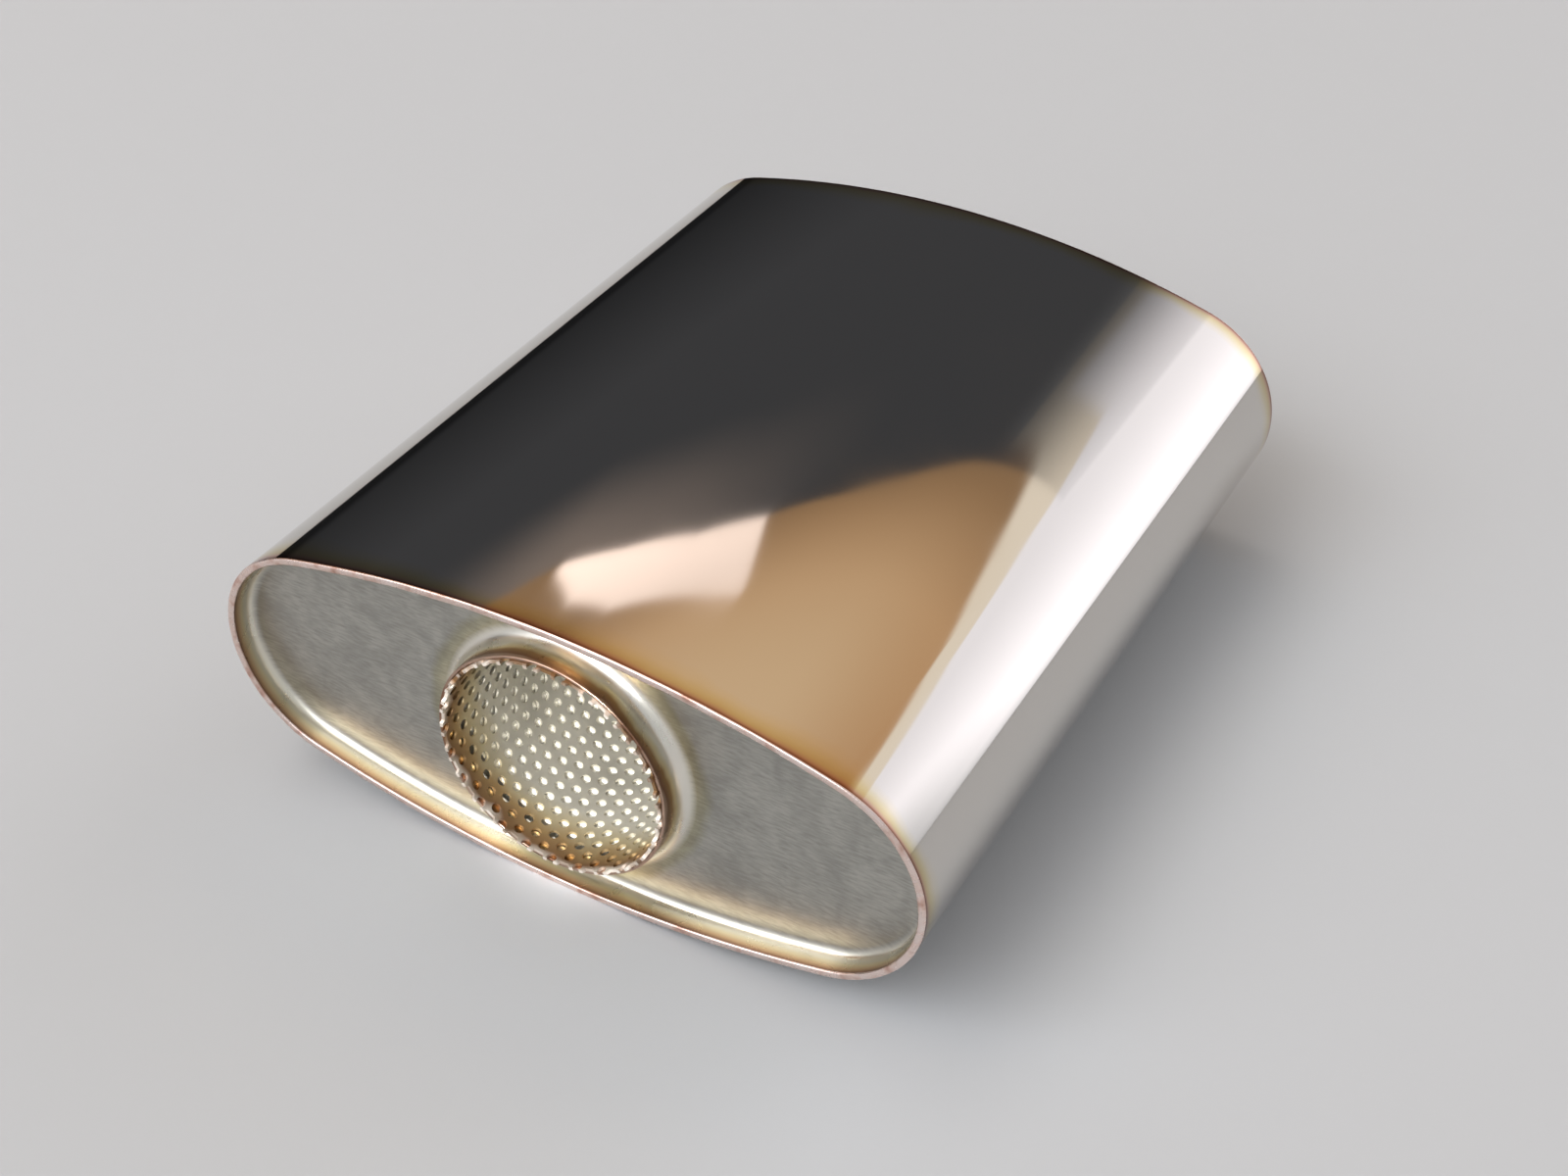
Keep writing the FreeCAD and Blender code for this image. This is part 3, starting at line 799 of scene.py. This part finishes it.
wave = add_node(tree, "TexNoise", {"Vector": place, "Scale": 1000 / POLISH_WAVE, "Detail": 0.0}).outputs["Fac"]
bend = add_node(tree, "Bump", {"Height": wave, "Strength": 1.0, "Distance": WAVE_DEPTH / 1000}).outputs[0]
shader = add_node(
    tree, "BsdfPrincipled", {"Base Color": tint, "Metallic": 1.0, "Roughness": gloss, "Normal": bend}
)
add_node(tree, "OutputMaterial", {"Surface": shader.outputs["BSDF"]})
shell.data.materials.append(shell_material)
print(f"heat tint {TINT_REACH} mm, polish waves {POLISH_WAVE} mm long and {WAVE_DEPTH} mm deep")

# %% [markdown]
# ## Pressed stainless sheet
# The plates keep the mill's satin finish, a mottled grey with fine grain. Where the press has stretched the
# metal, at the bend and on the neck, it is smoother and shinier. Heat has turned the flange and the neck straw to
# brown. The near-white cream on the flare and on the bend into the flange is a painted highlight, paler than the
# plate's grey. A faint yellow ring lies round the foot of the flare. Two distances tell where a point is on the
# plate: from the pipe's axis, and along the pipe. Each tint is a colour ramp along one of them, and noise moves
# its edges by up to 1.5 mm, so that no tint ends in a clean circle.

# %% Heat tints and painted highlights of the end plates
PLATE_GREY = "#b7b5ae"
RAGGED_PATCH = 22
RAGGED = 1.5
FOOT_RING = (37.0, 49.0)
NECK_TO_FLANGE = (42.0, 42.5)

plate_material, tree = new_material("satin_pressed_stainless")
place, from_middle = object_place(tree)
centred = add_node(
    tree, "Mapping", {"Vector": place, "Location": (0, 0, -AXIS_HEIGHT / 1000), "Scale": (1, 0, 1)}
).outputs[0]
off_axis = add_node(tree, "VectorMath", {0: centred}, operation="LENGTH").outputs["Value"]
patchy = add_node(tree, "TexNoise", {"Vector": place, "Scale": 1000 / RAGGED_PATCH, "Detail": 3.0}).outputs["Fac"]
shift = add_node(
    tree, "MapRange", {"Value": patchy, "From Min": 0.3, "From Max": 0.7,
                       "To Min": -RAGGED / 1000, "To Max": RAGGED / 1000}
).outputs[0]
ragged = add_node(tree, "Math", {0: off_axis, 1: shift}, operation="ADD").outputs[0]
foot_place = add_node(
    tree, "MapRange", {"Value": ragged, "From Min": FOOT_RING[0] / 1000, "From Max": FOOT_RING[1] / 1000}
).outputs[0]
face_tint = add_node(
    tree,
    "ValToRGB",
    {0: foot_place},
    stops=[(0.0, "#c2bba6"), (1.0, PLATE_GREY), (0.35, "#b8b29b"), (0.5, "#afab97"), (0.7, PLATE_GREY)],
).outputs[0]
flange_place = add_node(
    tree, "MapRange", {"Value": from_middle, "From Min": FACE / 1000, "From Max": RIM / 1000}
).outputs[0]
# Pale cream at the bend into the flange is a painted highlight; the gold and brown further out are heat tint.
flange_tint_and_painted_highlight = add_node(
    tree,
    "ValToRGB",
    {0: flange_place},
    stops=[
        (0.0, "#dad6ca"), (1.0, "#80594a"), (0.4, "#e4ddc8"), (0.6, "#e6d5ae"), (0.8, "#d2b088"),
        (0.92, "#a98368"),
    ],
).outputs[0]
ragged_depth = add_node(tree, "Math", {0: from_middle, 1: shift}, operation="ADD").outputs[0]
neck_place = add_node(
    tree, "MapRange", {"Value": ragged_depth, "From Min": (FACE + 1.0) / 1000, "From Max": NECK_END / 1000}
).outputs[0]
# Near-white on the flare is a painted highlight; the gold and brown up the neck wall are heat tint, and the lip
# is pale.
neck_tint_and_painted_highlight = add_node(
    tree,
    "ValToRGB",
    {0: neck_place},
    stops=[
        (0.0, "#e2ded4"), (1.0, "#b89c8a"), (0.3, "#eee9de"), (0.5, "#e0cfa8"), (0.66, "#ac8860"),
        (0.9, "#8c6854"),
    ],
).outputs[0]
near_flange = add_node(
    tree, "MapRange", {"Value": off_axis, "From Min": NECK_TO_FLANGE[0] / 1000,
                       "From Max": NECK_TO_FLANGE[1] / 1000}
).outputs[0]
# Heat tint of the neck or of the flange, with the painted highlight on the flare and the bend.
stretched_tint_and_painted_highlight = add_node(
    tree, "Mix", {0: near_flange, 6: neck_tint_and_painted_highlight, 7: flange_tint_and_painted_highlight}, data_type="RGBA"
).outputs[2]
print("the yellow ring lies", FOOT_RING[0], "to", FOOT_RING[1], "mm off the axis")

# %% [markdown]
# The satin is a noise that is stretched across the sheet, as rolling leaves it. Real grain is a few hundredths
# of a millimetre wide, which the render couldn't show, so it is drawn 0.7 mm wide and 4 mm long. A coarser
# mottle of 11 mm stands for scuffs, which change the gloss a little everywhere. The dark specks, the bump and
# the duller finish are kept to the flat face, where flat_share is 1. It is 0 on the bends, flange and neck.

# %% Grain and gloss of the end plates
GRAIN = (4, 2.5, 0.7)
GRAIN_TURN = 35
GRAIN_DEPTH = 0.06
MOTTLE = 11
NECK_TO_FACE = (38.0, 40.5)

grain = add_node(
    tree, "Mapping", {"Vector": place, "Rotation": (0, math.radians(GRAIN_TURN), 0),
                      "Scale": [1000 / size for size in GRAIN]}
).outputs[0]
satin = add_node(tree, "TexNoise", {"Vector": grain, "Scale": 1.0, "Detail": 3.0}).outputs["Fac"]
mottle = add_node(
    tree, "TexNoise", {"Vector": place, "Scale": 1000 / MOTTLE, "Detail": 6.0, "Distortion": 0.8}
).outputs["Fac"]
past_neck = add_node(
    tree, "MapRange", {"Value": off_axis, "From Min": NECK_TO_FACE[0] / 1000, "From Max": NECK_TO_FACE[1] / 1000}
).outputs[0]
on_face = add_node(
    tree, "MapRange", {"Value": from_middle, "From Min": (FACE + 0.1) / 1000, "From Max": (FACE + 1.0) / 1000,
                       "To Min": 1.0, "To Max": 0.0}
).outputs[0]
flat_share = add_node(tree, "Math", {0: past_neck, 1: on_face}, operation="MULTIPLY").outputs[0]
both = add_node(tree, "Mix", {0: flat_share, 6: stretched_tint_and_painted_highlight, 7: face_tint}, data_type="RGBA").outputs[2]
speckle = add_node(tree, "Math", {0: mottle, 1: satin}, operation="MULTIPLY").outputs[0]
shade = add_node(
    tree, "MapRange", {"Value": speckle, "From Min": 0.15, "From Max": 0.36, "To Min": 0.72, "To Max": 1.0}
).outputs[0]
shaded = add_node(
    tree, "Mix", {0: flat_share, 6: both, 7: shade}, data_type="RGBA", blend_type="MULTIPLY"
).outputs[2]
dull = add_node(tree, "MapRange", {"Value": flat_share, "To Min": 0.28, "To Max": 0.42}).outputs[0]
scuffed = add_node(
    tree, "MapRange", {"Value": mottle, "From Min": 0.2, "From Max": 0.8, "To Min": -0.06, "To Max": 0.07}
).outputs[0]
gloss = add_node(tree, "Math", {0: dull, 1: scuffed}, operation="ADD").outputs[0]
grip = add_node(tree, "Math", {0: flat_share, 1: 0.3}, operation="MULTIPLY").outputs[0]
bumpy = add_node(tree, "Bump", {"Height": satin, "Strength": grip, "Distance": GRAIN_DEPTH / 1000}).outputs[0]
shader = add_node(
    tree, "BsdfPrincipled", {"Base Color": shaded, "Metallic": 1.0, "Roughness": gloss, "Normal": bumpy}
)
add_node(tree, "OutputMaterial", {"Surface": shader.outputs["BSDF"]})
for plate in plates:
    plate.data.materials.append(plate_material)
print("grain", GRAIN, "mm, mottle", MOTTLE, "mm")

# %% [markdown]
# ## Perforated stainless
# Bright sheet straight from the punch, without any polish. It spreads light softly inside the tube, so its
# roughness is high. The ends were heated with the necks: over the last 19 mm the steel goes from grey to gold and
# brown, and the bare cut edge is pale. The deepest brown is also painted shade on the inner wall near the mouth.
# Noise moves these bands by up to 3 mm.

# %% Material of the core
CORE_PATCH = 17
CORE_RAGGED = 3.0
TINT_START = 111.0

core_material, tree = new_material("punched_bright_stainless")
place, from_middle = object_place(tree)
patchy = add_node(tree, "TexNoise", {"Vector": place, "Scale": 1000 / CORE_PATCH, "Detail": 3.0}).outputs["Fac"]
shift = add_node(
    tree, "MapRange", {"Value": patchy, "From Min": 0.3, "From Max": 0.7,
                       "To Min": -CORE_RAGGED / 1000, "To Max": CORE_RAGGED / 1000}
).outputs[0]
ragged = add_node(tree, "Math", {0: from_middle, 1: shift}, operation="ADD").outputs[0]
end_place = add_node(
    tree, "MapRange", {"Value": ragged, "From Min": TINT_START / 1000, "From Max": CORE_END / 1000}
).outputs[0]
# Heat tint towards the ends, with its deepest brown also painted shade for the inner wall near the mouth.
end_tint_and_painted_shade = add_node(
    tree,
    "ValToRGB",
    {0: end_place},
    stops=[(0.0, "#cbc7bb"), (1.0, "#e2dad0"), (0.35, "#c2b697"), (0.6, "#a98f66"), (0.85, "#8a6b4c")],
).outputs[0]
gloss = add_node(
    tree, "MapRange", {"Value": patchy, "From Min": 0.3, "From Max": 0.7, "To Min": 0.58, "To Max": 0.68}
).outputs[0]
shader = add_node(tree, "BsdfPrincipled", {"Base Color": end_tint_and_painted_shade, "Metallic": 1.0, "Roughness": gloss})
add_node(tree, "OutputMaterial", {"Surface": shader.outputs["BSDF"]})
core_mesh.materials.append(core_material)
print(f"the tint covers the last {CORE_END - TINT_START:.1f} mm of the tube")

# %% [markdown]
# ## Fibre
# Glass or mineral wool for mufflers is white, matt and made of fine threads that lie every way. Two stretched
# noise patterns at right angles stand for the threads. Real ones are under 0.02 mm thick, which no render of
# the whole part could show, so these are drawn 0.3 mm thick and 12 times as long.

# %% Material of the packing
THREAD = 0.3
THREAD_STRETCH = 12
THREAD_SLOPE = 40
FUZZ = 0.3

fibre_material, tree = new_material("white_muffler_wool")
place = add_node(tree, "TexCoord").outputs["Object"]
threads = []
for spin in (25, 115):
    stretched = add_node(
        tree,
        "Mapping",
        {"Vector": place, "Rotation": (math.radians(spin), math.radians(THREAD_SLOPE), math.radians(spin)),
         "Scale": (1000 / THREAD, 1000 / THREAD / THREAD_STRETCH, 1000 / THREAD)},
    ).outputs[0]
    threads.append(add_node(tree, "TexNoise", {"Vector": stretched, "Scale": 1.0, "Detail": 2.0}).outputs["Fac"])
crossed = add_node(tree, "Math", {0: threads[0], 1: threads[1]}, operation="MAXIMUM").outputs[0]
wool = add_node(
    tree, "ValToRGB", {0: crossed}, stops=[(0.35, "#dedbd2"), (0.65, "#fcfbf6"), (0.5, "#f4f2ea")]
).outputs[0]
fuzz = add_node(tree, "Bump", {"Height": crossed, "Strength": 0.8, "Distance": FUZZ / 1000}).outputs[0]
shader = add_node(tree, "BsdfPrincipled", {"Base Color": wool, "Roughness": 0.95, "Normal": fuzz})
add_node(tree, "OutputMaterial", {"Surface": shader.outputs["BSDF"]})
fibre.data.materials.append(fibre_material)
print(f"threads {THREAD} mm thick and {THREAD * THREAD_STRETCH:.1f} mm long")

# %% [markdown]
# ## Weld metal
# A fused bead freezes bright and a little pink under its thin oxide, and brown where the shielding gas ran
# out. The brown patches are also rougher. They are a few millimetres long, so their noise is set to that size.

# %% Material of the welds
OXIDE_PATCH = 6.7

weld_material, tree = new_material("fused_stainless_bead")
place = add_node(tree, "TexCoord").outputs["Object"]
patches = add_node(tree, "TexNoise", {"Vector": place, "Scale": 1000 / OXIDE_PATCH, "Detail": 4.0}).outputs["Fac"]
oxide = add_node(
    tree,
    "ValToRGB",
    {0: patches},
    stops=[(0.25, "#a37868"), (0.7, "#f2e2dc"), (0.36, "#cfaa9c"), (0.46, "#e8d0c6")],
).outputs[0]
gloss = add_node(
    tree, "MapRange", {"Value": patches, "From Min": 0.3, "From Max": 0.7, "To Min": 0.36, "To Max": 0.2}
).outputs[0]
shader = add_node(tree, "BsdfPrincipled", {"Base Color": oxide, "Metallic": 1.0, "Roughness": gloss})
add_node(tree, "OutputMaterial", {"Surface": shader.outputs["BSDF"]})
for name in ("front_rim_bead", "rear_rim_bead", "seam_bead"):
    bpy.data.objects[name].data.materials.append(weld_material)
print("oxide patches", OXIDE_PATCH, "mm")
